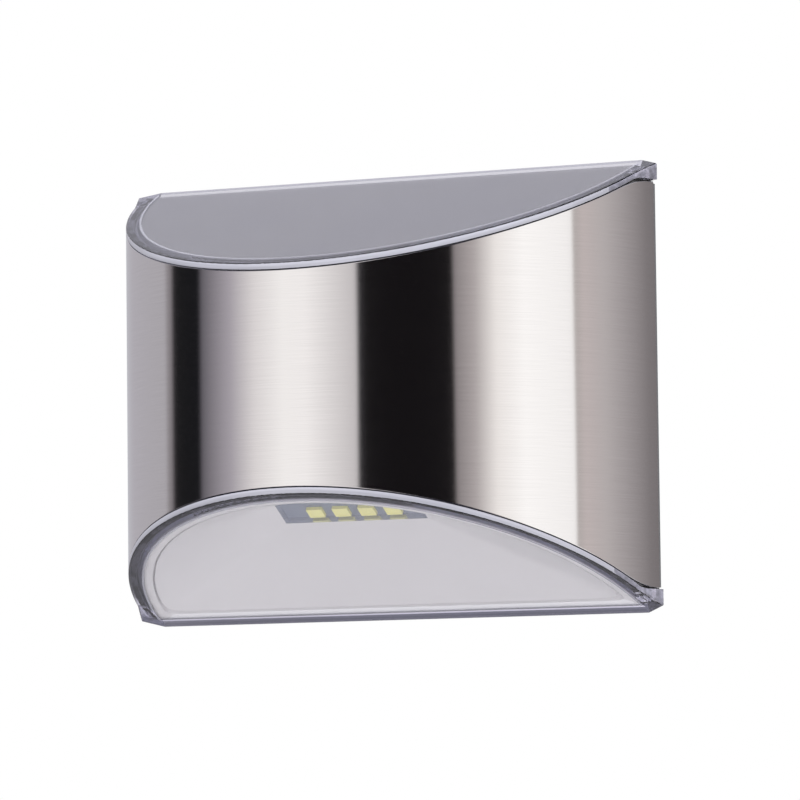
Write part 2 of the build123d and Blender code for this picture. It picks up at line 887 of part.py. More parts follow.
def partway(start, end, *shares):
    """Place between two others, given as shares of the way in x, y and z."""
    return tuple(a + (b - a) * share for a, b, share in zip(start, end, shares))


def board_end(place, shift=0.0):
    """Last two points of a lead that meets the control board square on from the front."""
    x = control_x + place[0] + shift
    z = control_z + place[1]
    face = control_front() - control_thickness
    return (x, face - lead_exit, z), (x, face, z)


def panel_lead(shift):
    """From the panel, through the hole in its shelf, down to the control board."""
    x = wire_hole_x + shift
    under = top_z(wire_hole_y, shelf_drop) - lead_diameter / 2 * rise
    leave = (x, wire_hole_y, under - lead_exit)
    near, face = board_end(panel_end, shift)
    return lead((x, wire_hole_y, under), leave, partway(leave, near, 0.3, 0.8, 0.6), near, face)


def led_lead(shift):
    """From the top of the LED board, in front of the battery box, to the control board."""
    top = window_plane(window_depth + led_board_thickness)
    row = -window_width / 2 - led_pad_row
    start = top.from_local_coords(Vector(led_pad_x + shift, row, 0))
    leave = top.from_local_coords(Vector(led_pad_x + shift, row, lead_short_exit))
    near, face = board_end(led_end, shift)
    shares = ((0.17, -0.33, 0.18), (0.52, -0.42, 0.46), (0.87, 0.22, 0.70))
    return lead(start, leave, *[partway(leave, near, *share) for share in shares], near, face)


def battery_lead(side, end, shares):
    """From a contact, out of the end of the battery box, to the control board."""
    start = (side * cell_space / 2, battery_y, battery_z + contact_lead_rise)
    leave = (start[0] + side * lead_exit, start[1], start[2])
    near, face = board_end(end)
    return lead(start, leave, *[partway(leave, near, *share) for share in shares], near, face)


def battery_lead_left():
    return battery_lead(-1, battery_left_end, ((0.17, 0.94, 0.25), (0.43, 1.5, 0.5)))


def battery_lead_right():
    shares = (
        (-0.03, 0.75, 0.32), (0.07, 1.2, 0.62), (0.27, 1.4, 0.84), (0.52, 1.45, 0.92),
        (0.77, 1.35, 0.88), (0.92, 1.2, 0.92),
    )
    return battery_lead(1, battery_right_end, shares)


def switch_lead(index):
    """From a switch pin, in front of the hook chambers, to the control board."""
    pin = (switch_pins()[index], switch_front() - switch_pin_length, switch_z)
    leave = (pin[0], pin[1] - lead_short_exit, pin[2])
    near, face = board_end((switch_end[0], switch_end[1] + index * switch_lead_pitch))
    shares = (
        (0.09, 1.1, -0.1), (0.3, 1.6, 0.5), (0.53, 1.8, 1.2), (0.77, 1.7, 1.4), (0.91, 1.4, 1.2),
    )
    raised = index * switch_lead_pitch
    bends = [Vector(*partway(leave, near, *share)) + Vector(0, 0, raised / 2) for share in shares]
    return lead(pin, leave, *bends, near, face)


pieces = {
    "wall_bracket": wall_bracket(),
    "back_plate": back_plate(),
    "back_screws": back_screws(),
    "steel_cover": steel_cover(),
    "housing": housing(),
    "top_cover": clear_cover(),
    "bottom_lens": mirror(clear_cover(), about=Plane.XY),
    "top_seal": cover_seal(),
    "lens_seal": mirror(cover_seal(), about=Plane.XY),
    "solar_panel": solar_panel(),
    "reflector": reflector(),
    "led_board": led_board(),
    "led_screws": led_screws(),
    "battery_door": battery_door(),
    "door_seal": door_seal(),
    "battery": battery(),
    "battery_spring": spring_contact(),
    "battery_contact": plate_contact(),
    "switch_body": switch_body(),
    "switch_knob": switch_knob(),
    "control_board": control_board(),
    "control_screws": control_screws(),
    "charge_chip": charge_chip(),
    "boost_coil": boost_coil(),
    "capacitor": capacitor(),
}
for number in range(led_count):
    pieces["led_" + str(number + 1)] = led(number)
for name, shift in (("red", 0), ("black", -lead_spread)):
    pieces["panel_lead_" + name] = panel_lead(shift + lead_spread / 2)
    pieces["led_lead_" + name] = led_lead(shift)
pieces["battery_lead_black"] = battery_lead_left()
pieces["battery_lead_red"] = battery_lead_right()
pieces["switch_lead_in"] = switch_lead(0)
pieces["switch_lead_out"] = switch_lead(1)

os.makedirs("parts", exist_ok=True)
for name, piece in pieces.items():
    export_step(Pos(0, -wall_gap, -bracket_z) * piece, "parts/" + name + ".step")
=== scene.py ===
import json
import math

import bmesh
import bpy
from mathutils import Matrix, Vector
from mathutils.bvhtree import BVHTree


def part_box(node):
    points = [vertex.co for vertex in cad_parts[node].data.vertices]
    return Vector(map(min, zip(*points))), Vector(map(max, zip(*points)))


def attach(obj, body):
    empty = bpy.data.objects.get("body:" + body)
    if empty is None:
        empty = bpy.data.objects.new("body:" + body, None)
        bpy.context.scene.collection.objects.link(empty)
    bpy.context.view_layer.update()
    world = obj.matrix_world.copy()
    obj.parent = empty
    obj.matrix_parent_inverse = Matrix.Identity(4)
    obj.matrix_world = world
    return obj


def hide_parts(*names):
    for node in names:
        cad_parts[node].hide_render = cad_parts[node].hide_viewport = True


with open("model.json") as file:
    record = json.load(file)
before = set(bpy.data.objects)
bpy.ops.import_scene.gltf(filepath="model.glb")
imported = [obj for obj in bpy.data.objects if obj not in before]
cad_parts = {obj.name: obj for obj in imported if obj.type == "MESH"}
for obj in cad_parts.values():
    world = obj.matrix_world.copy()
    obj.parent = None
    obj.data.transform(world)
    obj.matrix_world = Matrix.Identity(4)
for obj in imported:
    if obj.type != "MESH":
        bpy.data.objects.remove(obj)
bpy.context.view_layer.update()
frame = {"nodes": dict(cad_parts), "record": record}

bl_info = {
    "name": "Half-round solar wall light",
    "version": (1, 0, 0),
    "blender": (4, 5, 0),
    "location": "View3D > Sidebar > Wall light",
    "description": "Finishes the parts of a half-round solar wall light and sets up its studio",
    "category": "Object",
}

MM = 0.001
NODES = frame["nodes"]
BODY_OF = {node: body for body, nodes in frame["record"]["behaviour"]["bodies"].items() for node in nodes}
SLOT_OF = {part["node"]: part["material_slot"] for part in frame["record"]["subparts"]}

STEEL_LOW, STEEL_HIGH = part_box("steel_cover")
BAND_REACH = -STEEL_LOW.y
BACK_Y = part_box("back_plate")[1].y
MIDDLE_Z = (STEEL_LOW.z + STEEL_HIGH.z) / 2
# The clear covers' thick back corners lie beyond this distance from the middle
CORNER_X = STEEL_HIGH.x - 3.5 * MM

# Outer shape of the light, in millimetres from the middle of its back. The band's axis lies behind the back.
ORIGIN = Vector((0.0, BACK_Y, MIDDLE_Z)) / MM
AXIS_BEHIND_BACK = 3.0
BACK_HEIGHT = 96.0
SLANT_ANGLE = math.radians(23.0)
SLANT = math.tan(SLANT_ANGLE)

# Reflector, in the same millimetres
FLANGE_RADIUS = 56.9
FLANGE_BACK = -2.4
HIP_ANGLE = math.radians(36.0)
WINDOW_TILT = math.radians(32.0)
WINDOW_BACK_Y = -22.7
WINDOW_BACK_Z = -27.12
WINDOW_LENGTH = 32.8
WINDOW_WIDTH = 8.0
WINDOW_DEPTH = 1.6
WINDOW_EDGE = 1.2
# Lines round the flange: distance in from its arcs, distance in from its back line, height above the lens's face
FLANGE_LINE = (0.0, 0.0, 1.2)
GROOVE_LINES = ((2.2, 2.5, 1.2), (2.25, 2.55, 2.25), (2.6, 3.25, 2.25))
FUNNEL_LINE = (2.65, 3.3, 1.35)
BACK_LINES = ((1.2, 1.4, 2.4), (0.0, 0.0, 2.4))
# Rows of the funnel, and rounds of softening of the groove's lines and, at most, of the funnel's
FUNNEL_ROWS = 14
GROOVE_ROUNDS = 2
FUNNEL_ROUNDS = 4
# Points along the left, front, right and back sides of a line round the reflector
RING_COUNTS = (26, 40, 26, 60)
# The flange's back strip takes a brighter white, a painted highlight
SHELL_FINISHES = ("white_gloss", "window_wall", "flange_painted_highlight")
# Degrees from which an edge of the reflector is sharp
SHELL_SHARP = 35.0

# Clear covers: radii at which the light line (a painted highlight), the lip and the dark edge (painted shade)
# begin on their slanted faces
COVER_FINISHES = ("clear_plastic", "clear_rim", "clear_corner", "clear_lip", "clear_edge_painted_shade", "clear_line_painted_highlight")
HIGHLIGHT_LINE_RADIUS = 56.65
LIP_RADIUS = 57.1
SHADED_EDGE_RADIUS = 59.4
# Strips along their back edges: where each starts, from the back, and its finish; the darker edge strips are
# painted shade
TOP_STRIPS = ((-2.1, "clear_edge_painted_shade"),)
LENS_STRIPS = ((-3.6, "clear_lip"), (-2.1, "clear_edge_painted_shade"))
# Straight cuts that follow a circle on a slanted face: degrees between them, and their number on each side
CUT_STEP = 4.0
CUTS_EACH_SIDE = 22
# A face is part of a slanted face if it looks the same way this nearly, and lies no more than this many
# millimetres below it
SLANTED_FACING = Vector((0.0, -math.sin(SLANT_ANGLE), math.cos(SLANT_ANGLE)))
SLANTED_MATCH = 0.9995
SLANTED_PLAY = 0.1
# A cover's face is no wall if it looks up or down by more than the first, and is its back if it looks back by
# the second. A ray from just off a wall tells whether it is the outer one.
LEVEL_SHARE = 0.35
BACK_SHARE = 0.9
RAY_LIFT = 0.01 * MM

# Copies of parts: distances within which points are one, when merged and when cut
MERGE_DISTANCE = 1e-6
CUT_DISTANCE = 1e-7
# Degrees up to which faces are one flat face, and from which an edge is sharp and is rounded
FLAT_ANGLE = 0.4
SHARP_ANGLE = 28.0
ROUNDING_SEGMENTS = 2


class LightFinish(bpy.types.PropertyGroup):
    """Sizes and colours of the light's finishes."""

    edge_round: bpy.props.FloatProperty(
        name="Edge rounding", description="Rounding of moulded edges",
        default=0.25 * MM, min=0.0, max=2 * MM, precision=5, subtype="DISTANCE", unit="LENGTH",
    )
    sheet_round: bpy.props.FloatProperty(
        name="Sheet edge", description="Rounding of the steel sheet's cut edges",
        default=0.12 * MM, min=0.0, max=0.25 * MM, precision=5, subtype="DISTANCE", unit="LENGTH",
    )
    hairline_length: bpy.props.FloatProperty(
        name="Hairline length", description="Length of a brushed hairline",
        default=14 * MM, min=MM, max=100 * MM, precision=4, subtype="DISTANCE", unit="LENGTH",
    )
    hairline_width: bpy.props.FloatProperty(
        name="Hairline width", description="Width of a brushed hairline",
        default=0.12 * MM, min=0.01 * MM, max=MM, precision=5, subtype="DISTANCE", unit="LENGTH",
    )
    steel_colour: bpy.props.FloatVectorProperty(
        name="Steel", description="Reflected colour of the brushed steel",
        default=(0.88, 0.87, 0.865), min=0.0, max=1.0, size=3, subtype="COLOR",
    )
    clear_colour: bpy.props.FloatVectorProperty(
        name="Clear plastic", description="Colour that a thick stretch of the clear plastic takes on",
        default=(0.74, 0.73, 0.84), min=0.0, max=1.0, size=3, subtype="COLOR",
    )
    rim_colour: bpy.props.FloatVectorProperty(
        name="Rim", description="Tone of the clear covers' outer wall",
        default=(0.76, 0.76, 0.87), min=0.0, max=1.0, size=3, subtype="COLOR",
    )
    corner_colour: bpy.props.FloatVectorProperty(
        name="Rim corner", description="Tone of the thick back corners of the clear covers",
        default=(0.72, 0.71, 0.86), min=0.0, max=1.0, size=3, subtype="COLOR",
    )
    reflector_colour: bpy.props.FloatVectorProperty(
        name="Reflector", description="Colour of the white reflector",
        default=(0.676, 0.656, 0.680), min=0.0, max=1.0, size=3, subtype="COLOR",
    )
    panel_colour: bpy.props.FloatVectorProperty(
        name="Solar panel", description="Even colour of the solar panel",
        default=(0.085, 0.078, 0.095), min=0.0, max=1.0, size=3, subtype="COLOR",
    )
    moulding_colour: bpy.props.FloatVectorProperty(
        name="Moulding", description="Colour of the housing, back plate and door",
        default=(0.15, 0.15, 0.158), min=0.0, max=1.0, size=3, subtype="COLOR",
    )
    phosphor_colour: bpy.props.FloatVectorProperty(
        name="Phosphor", description="Colour of the unlit phosphor",
        default=(0.86, 0.82, 0.36), min=0.0, max=1.0, size=3, subtype="COLOR",
    )
    board_colour: bpy.props.FloatVectorProperty(
        name="LED board", description="Colour of the LED board's solder mask",
        default=(0.20, 0.225, 0.29), min=0.0, max=1.0, size=3, subtype="COLOR",
    )


class StudioSettings(bpy.types.PropertyGroup):
    """Camera, floor and surroundings."""

    turn: bpy.props.FloatProperty(
        name="Turn", description="Angle of the camera to the light's right",
        default=math.radians(24.214), subtype="ANGLE", unit="ROTATION",
    )
    rise: bpy.props.FloatProperty(
        name="Rise", description="Angle of the camera above the light",
        default=math.radians(-4.782), subtype="ANGLE", unit="ROTATION",
    )
    roll: bpy.props.FloatProperty(
        name="Roll", description="Turn of the camera about its own axis",
        default=math.radians(0.653), subtype="ANGLE", unit="ROTATION",
    )
    distance: bpy.props.FloatProperty(
        name="Distance", description="Distance from the camera to the middle of the light's back",
        default=1.08038, min=0.1, subtype="DISTANCE", unit="LENGTH",
    )
    lens: bpy.props.FloatProperty(
        name="Lens", description="Focal length of the camera",
        default=225.96, min=1.0, unit="CAMERA",
    )
    level: bpy.props.FloatProperty(
        name="Light level", description="Strength of the soft light all round",
        default=1.0, min=0.0, max=4.0,
    )
    floor_drop: bpy.props.FloatProperty(
        name="Floor drop", description="Height of the light above the floor",
        default=0.35, min=0.05, subtype="DISTANCE", unit="LENGTH",
    )
    floor_colour: bpy.props.FloatVectorProperty(
        name="Floor", description="Colour of the plain floor",
        default=(1.0, 1.0, 1.0), min=0.0, max=1.0, size=3, subtype="COLOR",
    )


# Shader groups

# Spans that most values of the noise lie in
NOISE_WIDE = (0.3, 0.7)
NOISE_NARROW = (0.35, 0.65)


def new_group(name, inputs, outputs):
    """Empty shader group with named sockets; 'inputs' gives each socket's type and default."""
    tree = bpy.data.node_groups.new(name, "ShaderNodeTree")
    for label, kind, default in inputs:
        socket = tree.interface.new_socket(name=label, in_out="INPUT", socket_type=kind)
        if default is not None:
            socket.default_value = default
    for label, kind in outputs:
        tree.interface.new_socket(name=label, in_out="OUTPUT", socket_type=kind)
    return tree, tree.nodes.new("NodeGroupInput"), tree.nodes.new("NodeGroupOutput")


def set_socket(tree, socket, value):
    """Join a socket to an output, or give it a plain value."""
    if isinstance(value, bpy.types.NodeSocket):
        tree.links.new(value, socket)
    else:
        socket.default_value = value


def add_math(tree, operation, first, second=0.0):
    node = tree.nodes.new("ShaderNodeMath")
    node.operation = operation
    set_socket(tree, node.inputs[0], first)
    set_socket(tree, node.inputs[1], second)
    return node.outputs[0]


def add_scaled(tree, vector, scale):
    """Vector times another, part by part."""
    node = tree.nodes.new("ShaderNodeVectorMath")
    node.operation = "MULTIPLY"
    set_socket(tree, node.inputs[0], vector)
    set_socket(tree, node.inputs[1], scale)
    return node.outputs[0]


def add_noise(tree, vector, detail=2.0, roughness=0.5):
    """Noise with one cloud to each unit of the place."""
    node = tree.nodes.new("ShaderNodeTexNoise")
    set_socket(tree, node.inputs["Vector"], vector)
    node.inputs["Scale"].default_value = 1.0
    node.inputs["Detail"].default_value = detail
    node.inputs["Roughness"].default_value = roughness
    return node.outputs["Fac"]


def add_range(tree, value, low, high, new_low=0.0, new_high=1.0):
    """Map one range of values to another, held at its ends."""
    node = tree.nodes.new("ShaderNodeMapRange")
    set_socket(tree, node.inputs["Value"], value)
    node.inputs["From Min"].default_value = low
    node.inputs["From Max"].default_value = high
    node.inputs["To Min"].default_value = new_low
    node.inputs["To Max"].default_value = new_high
    return node.outputs["Result"]


def add_mix(tree, factor, first, second):
    """Blend of two colours."""
    node = tree.nodes.new("ShaderNodeMix")
    node.data_type = "RGBA"
    set_socket(tree, node.inputs["Factor"], factor)
    for socket, colour in ((node.inputs["A"], first), (node.inputs["B"], second)):
        set_socket(tree, socket, colour if isinstance(colour, bpy.types.NodeSocket) else (*colour, 1.0))
    return node.outputs["Result"]


def add_bump(tree, height, distance):
    node = tree.nodes.new("ShaderNodeBump")
    node.inputs["Distance"].default_value = distance
    set_socket(tree, node.inputs["Height"], height)
    return node.outputs["Normal"]


def join_place(tree, x, y, z):
    node = tree.nodes.new("ShaderNodeCombineXYZ")
    for socket, value in zip(node.inputs, (x, y, z)):
        set_socket(tree, socket, value)
    return node.outputs[0]


def split_place(tree, vector):
    node = tree.nodes.new("ShaderNodeSeparateXYZ")
    set_socket(tree, node.inputs[0], vector)
    return node.outputs


def object_place(tree):
    return tree.nodes.new("ShaderNodeTexCoord").outputs["Object"]


def streak_group():
    """Long fine streaks that run along x of the given place."""
    inputs = (
        ("Place", "NodeSocketVector", None),
        ("Length", "NodeSocketFloat", 0.01),
        ("Width", "NodeSocketFloat", 0.0001),
    )
    tree, given, made = new_group("Streaks", inputs, (("Streak", "NodeSocketFloat"),))
    along = add_math(tree, "DIVIDE", 1.0, given.outputs["Length"])
    across = add_math(tree, "DIVIDE", 1.0, given.outputs["Width"])
    place = add_scaled(tree, given.outputs["Place"], join_place(tree, along, across, across))
    set_socket(tree, made.inputs["Streak"], add_noise(tree, place, detail=3.0, roughness=0.6))


def mottle_group():
    """Cloudy change of tone about 1."""
    inputs = (
        ("Size", "NodeSocketFloat", 0.01),
        ("Amount", "NodeSocketFloat", 0.05),
    )
    tree, given, made = new_group("Mottle", inputs, (("Tone", "NodeSocketFloat"),))
    scale = add_math(tree, "DIVIDE", 1.0, given.outputs["Size"])
    place = add_scaled(tree, object_place(tree), join_place(tree, scale, scale, scale))
    swing = add_math(tree, "SUBTRACT", add_noise(tree, place), 0.5)
    tone = add_math(tree, "ADD", 1.0, add_math(tree, "MULTIPLY", swing, given.outputs["Amount"]))
    set_socket(tree, made.inputs["Tone"], tone)


def spark_group():
    """Fine spark texture of a moulded surface: a height and a tone."""
    outputs = (("Height", "NodeSocketFloat"), ("Tone", "NodeSocketFloat"))
    tree, given, made = new_group("Spark texture", (("Grain", "NodeSocketFloat", 0.0003),), outputs)
    scale = add_math(tree, "DIVIDE", 1.0, given.outputs["Grain"])
    place = add_scaled(tree, object_place(tree), join_place(tree, scale, scale, scale))
    height = add_noise(tree, place, roughness=0.7)
    set_socket(tree, made.inputs["Height"], height)
    set_socket(tree, made.inputs["Tone"], add_range(tree, height, *NOISE_NARROW, 0.86, 1.14))


def use_group(tree, name, **values):
    node = tree.nodes.new("ShaderNodeGroup")
    node.node_tree = bpy.data.node_groups[name]
    for label, value in values.items():
        set_socket(tree, node.inputs[label], value)
    return node.outputs


# Materials

# Clear plastic: how it bends light, and how much it absorbs per metre
CLEAR_IOR = 1.57
CLEAR_DENSITY = 40.0
# Depths of the textures
SPARK_DEPTH = 0.01 * MM
HAIRLINE_DEPTH = 0.002 * MM
# Streaks and clouds of the clear covers' outer wall, and half the depth over which painted shade darkens its
# tone
RIM_STREAK = {"Length": 25 * MM, "Width": 0.45 * MM}
RIM_CLOUD = 1.3 * MM
RIM_SHADE_HALF = 0.75 * MM


def new_material(name, **values):
    """Tree and shader sockets of a new material; keywords are the sockets' values, with _ for a space."""
    material = bpy.data.materials.new("finish_" + name)
    material.use_nodes = True
    tree = material.node_tree
    shader = tree.nodes["Principled BSDF"]
    for label, value in values.items():
        socket = shader.inputs[label.replace("_", " ")]
        is_colour = hasattr(value, "__len__") and len(value) == 3 and len(socket.default_value) == 4
        socket.default_value = (*value, 1.0) if is_colour else value
    return tree, shader.inputs


def finish_of(slot):
    return bpy.data.materials["finish_" + slot]


def toned(tree, colour, tone):
    """Colour times a tone."""
    return add_scaled(tree, tuple(colour), join_place(tree, tone, tone, tone))


def round_place(tree):
    """Place unrolled round the band: distance round it, nothing, and height."""
    x, y, z = split_place(tree, object_place(tree))
    angle = add_math(tree, "ARCTAN2", x, add_math(tree, "MULTIPLY", y, -1.0))
    return join_place(tree, add_math(tree, "MULTIPLY", angle, BAND_REACH), 0.0, z)


def rim_place(tree):
    """Place along the slanted rims: distance round the light, up or down, and depth under the rim's face."""
    x, y, z = split_place(tree, object_place(tree))
    around = split_place(tree, round_place(tree))[0]
    rise = add_math(tree, "SUBTRACT", z, MIDDLE_Z)
    height = add_math(tree, "ABSOLUTE", rise)
    fall = add_math(tree, "MULTIPLY", add_math(tree, "SUBTRACT", y, BACK_Y), SLANT)
    edge = add_math(tree, "ADD", fall, BACK_HEIGHT / 2 * MM)
    return join_place(tree, around, add_math(tree, "SIGN", rise), add_math(tree, "SUBTRACT", edge, height))


def brushed_steel():
    """Stainless sheet with hairlines that run round the band."""
    finish = bpy.context.scene.wall_light
    length, width = finish.hairline_length, finish.hairline_width
    tree, shader = new_material(
        "brushed_stainless", Metallic=1.0, Anisotropic=1.0, Anisotropic_Rotation=0.25,
    )
    place = round_place(tree)
    fine = use_group(tree, "Streaks", Place=place, Length=length, Width=width)["Streak"]
    broad = use_group(tree, "Streaks", Place=place, Length=4 * length, Width=6 * width)["Streak"]
    fine_tone = add_range(tree, fine, *NOISE_WIDE, 0.955, 1.03)
    broad_tone = add_range(tree, broad, *NOISE_WIDE, -0.006, 0.006)
    tone = add_math(tree, "ADD", fine_tone, broad_tone)
    set_socket(tree, shader["Base Color"], toned(tree, finish.steel_colour, tone))
    set_socket(tree, shader["Roughness"], add_range(tree, fine, *NOISE_WIDE, 0.10, 0.145))
    set_socket(tree, shader["Normal"], add_bump(tree, fine, HAIRLINE_DEPTH))
    tangent = tree.nodes.new("ShaderNodeTangent")
    tangent.direction_type = "RADIAL"
    tangent.axis = "Z"
    set_socket(tree, shader["Tangent"], tangent.outputs[0])


def clear_plastic():
    """Clear moulded plastic that turns lilac grey where it is thick."""
    finish = bpy.context.scene.wall_light
    tree, _ = new_material(
        "clear_plastic", Base_Color=(1.0, 1.0, 1.0), Roughness=0.0, IOR=CLEAR_IOR, Transmission_Weight=1.0,
    )
    absorb = tree.nodes.new("ShaderNodeVolumeAbsorption")
    absorb.inputs["Color"].default_value = (*finish.clear_colour, 1.0)
    absorb.inputs["Density"].default_value = CLEAR_DENSITY
    tree.links.new(absorb.outputs[0], tree.nodes["Material Output"].inputs["Volume"])


def milky_plastic(name, colour, share, cloud=0.0):
    """Clear plastic that is a little milky, with painted shade that darkens it towards its foot; 'share' is what
    it lets through.
    """
    tree, shader = new_material(name, Roughness=0.06, IOR=CLEAR_IOR, Transmission_Weight=share)
    place = rim_place(tree)
    streak = use_group(tree, "Streaks", Place=place, **RIM_STREAK)["Streak"]
    facing, depth = split_place(tree, place)[1:3]
    # Painted shade: the tone falls from 1.08 to 0.68 towards the wall's foot
    below = add_math(tree, "MULTIPLY", facing, add_math(tree, "SUBTRACT", depth, RIM_SHADE_HALF))
    fall = add_range(tree, below, -RIM_SHADE_HALF, RIM_SHADE_HALF, 1.08, 0.68)
    tone = add_math(tree, "MULTIPLY", fall, add_range(tree, streak, *NOISE_NARROW, 0.84, 1.06))
    tone = add_math(tree, "MULTIPLY", tone, use_group(tree, "Mottle", Size=RIM_CLOUD, Amount=cloud)["Tone"])
    set_socket(tree, shader["Base Color"], toned(tree, colour, tone))


def tinted_plastic(name, colour, tone):
    """The clear plastic where its face lies over a dark moulded step; a 'tone' under 1 tints it darker still,
    which is painted shade.
    """
    tree, shader = new_material(
        name, Roughness=0.0, IOR=CLEAR_IOR, Transmission_Weight=1.0, Specular_IOR_Level=0.1,
    )
    mottle = use_group(tree, "Mottle", Size=5 * MM, Amount=0.3)["Tone"]
    set_socket(tree, shader["Base Color"], toned(tree, colour, add_math(tree, "MULTIPLY", mottle, tone)))


def moulded(name, colour, roughness, grain=0.25 * MM, swing=0.06):
    """Opaque moulded plastic or rubber with a spark texture."""
    tree, shader = new_material(name)
    spark = use_group(tree, "Spark texture", Grain=grain)
    mottle = use_group(tree, "Mottle", Size=12 * MM, Amount=0.08)
    tone = add_math(tree, "MULTIPLY", spark["Tone"], mottle["Tone"])
    set_socket(tree, shader["Base Color"], toned(tree, colour, tone))
    gloss = add_range(tree, spark["Height"], *NOISE_WIDE, roughness - swing, roughness + swing)
    set_socket(tree, shader["Roughness"], gloss)
    set_socket(tree, shader["Normal"], add_bump(tree, spark["Height"], SPARK_DEPTH))


def polished(name, colour, roughness, amount=0.03, **values):
    """Smooth moulded or coated surface with a faint change of tone."""
    tree, shader = new_material(name, **values)
    mottle = use_group(tree, "Mottle", Size=9 * MM, Amount=amount)
    set_socket(tree, shader["Base Color"], toned(tree, colour, mottle["Tone"]))
    smooth, rough = roughness * 0.85, roughness * 1.15
    gloss = add_range(tree, mottle["Tone"], 1 - amount, 1 + amount, smooth, rough)
    set_socket(tree, shader["Roughness"], gloss)


def plated(name, colour, roughness, swing=0.03):
    """Plated or zinc-coated metal with fine drawn lines."""
    tree, shader = new_material(name, Metallic=1.0)
    streak = use_group(tree, "Streaks", Place=object_place(tree), Length=9 * MM, Width=0.06 * MM)["Streak"]
    mottle = use_group(tree, "Mottle", Size=3 * MM, Amount=0.2)["Tone"]
    tone = add_math(tree, "MULTIPLY", mottle, add_range(tree, streak, *NOISE_WIDE, 0.975, 1.02))
    set_socket(tree, shader["Base Color"], toned(tree, colour, tone))
    gloss = add_range(tree, streak, *NOISE_WIDE, roughness - swing, roughness + swing)
    set_socket(tree, shader["Roughness"], gloss)


def solar_panel_finish():
    """Even grey laminated panel with faint clouds, from a warmer tint to a cooler one."""
    finish = bpy.context.scene.wall_light
    tree, shader = new_material("panel_glass")
    cloud = use_group(tree, "Mottle", Size=30 * MM, Amount=0.5)["Tone"]
    warm, cool = (
        tuple(part * share for part, share in zip(finish.panel_colour, tint))
        for tint in ((1.03, 1.0, 0.93), (0.97, 0.98, 1.05))
    )
    tint = add_mix(tree, add_range(tree, cloud, 0.9, 1.1), warm, cool)
    grain = use_group(tree, "Mottle", Size=0.5 * MM, Amount=0.1)["Tone"]
    set_socket(tree, shader["Base Color"], add_scaled(tree, tint, join_place(tree, grain, grain, grain)))
    set_socket(tree, shader["Roughness"], add_range(tree, cloud, 0.8, 1.2, 0.30, 0.42))


def make_materials():
    """Finishes of the record's slots, and the further ones of the clear covers and the reflector."""
    finish = bpy.context.scene.wall_light
    streak_group()
    mottle_group()
    spark_group()
    brushed_steel()
    clear_plastic()
    milky_plastic("clear_rim", finish.rim_colour, 0.28)
    milky_plastic("clear_corner", finish.corner_colour, 0.6, 1.4)
    tinted_plastic("clear_lip", finish.corner_colour, 1.0)
    # Painted shade: the outer edge and back strips of the clear covers are tinted darker and reflect less
    tinted_plastic("clear_edge_painted_shade", finish.corner_colour, 0.62)
    # Painted highlight: a milky strip inside the lip stands in for a bright reflection line
    milky_plastic("clear_line_painted_highlight", finish.rim_colour, 0.5)
    solar_panel_finish()
    polished("white_gloss", finish.reflector_colour, 0.42)
    # Painted highlight: brighter white for the back strip of the reflector's flange
    polished("flange_painted_highlight", (0.93, 0.92, 0.96), 0.25)
    polished("window_wall", (0.70, 0.71, 0.76), 0.05, Metallic=0.8)
    polished("led_yellow", finish.phosphor_colour, 0.45, 0.05)
    polished("board_laminate", finish.board_colour, 0.35, 0.06)
    moulded("grey_abs", finish.moulding_colour, 0.52)
    moulded("black_plastic", (0.03, 0.03, 0.032), 0.45)
    moulded("black_rubber", (0.025, 0.025, 0.027), 0.7, 0.15 * MM)
    plated("zinc_plated_steel", (0.62, 0.63, 0.66), 0.32)
    plated("nickel_plate", (0.72, 0.69, 0.62), 0.22)
    polished("battery_sleeve", (0.08, 0.30, 0.20), 0.25)
    polished("green_laminate", (0.03, 0.17, 0.07), 0.35, 0.08)
    moulded("ferrite", (0.10, 0.095, 0.09), 0.6)
    polished("capacitor_sleeve", (0.06, 0.08, 0.20), 0.3)
    polished("red_insulation", (0.45, 0.02, 0.02), 0.4)
    polished("black_insulation", (0.02, 0.02, 0.02), 0.4)


# Pieces

def paint(piece, slot):
    piece.data.materials.clear()
    piece.data.materials.append(finish_of(slot))


def copy_part(node, name):
    """Copy of a part's mesh, and its editable model with the points at one place merged."""
    mesh = NODES[node].data.copy()
    mesh.name = name
    model = bmesh.new()
    model.from_mesh(mesh)
    bmesh.ops.remove_doubles(model, verts=model.verts, dist=MERGE_DISTANCE)
    return mesh, model


def add_object(name, data):
    item = bpy.data.objects.new(name, data)
    bpy.context.scene.collection.objects.link(item)
    return item


def add_piece(name, mesh, model, sharp_angle):
    """Object made of a finished model: smooth faces, with sharp edges over an angle in degrees."""
    for face in model.faces:
        face.smooth = True
    for line in model.edges:
        line.smooth = line.calc_face_angle(0.0) < math.radians(sharp_angle)
    model.to_mesh(mesh)
    model.free()
    if mesh.has_custom_normals:
        mesh.attributes.remove(mesh.attributes["custom_normal"])
    return add_object(name, mesh)


def refine(node, name, edge):
    """Copy of a part with its flat faces merged and its edges rounded, which stands for the part."""
    mesh, model = copy_part(node, name)
    flat = math.radians(FLAT_ANGLE)
    bmesh.ops.dissolve_limit(
        model, angle_limit=flat, verts=model.verts, edges=model.edges, delimit={"NORMAL"},
    )
    piece = add_piece(name, mesh, model, SHARP_ANGLE)
    if edge > 0:
        rounding = piece.modifiers.new("Rounded edges", "BEVEL")
        rounding.width = edge
        rounding.segments = ROUNDING_SEGMENTS
        rounding.limit_method = "ANGLE"
        rounding.angle_limit = math.radians(SHARP_ANGLE)
        rounding.use_clamp_overlap = True
        rounding.harden_normals = True
        rounding.miter_outer = "MITER_ARC"
    paint(piece, SLOT_OF[node])
    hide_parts(node)
    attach(piece, BODY_OF[node])


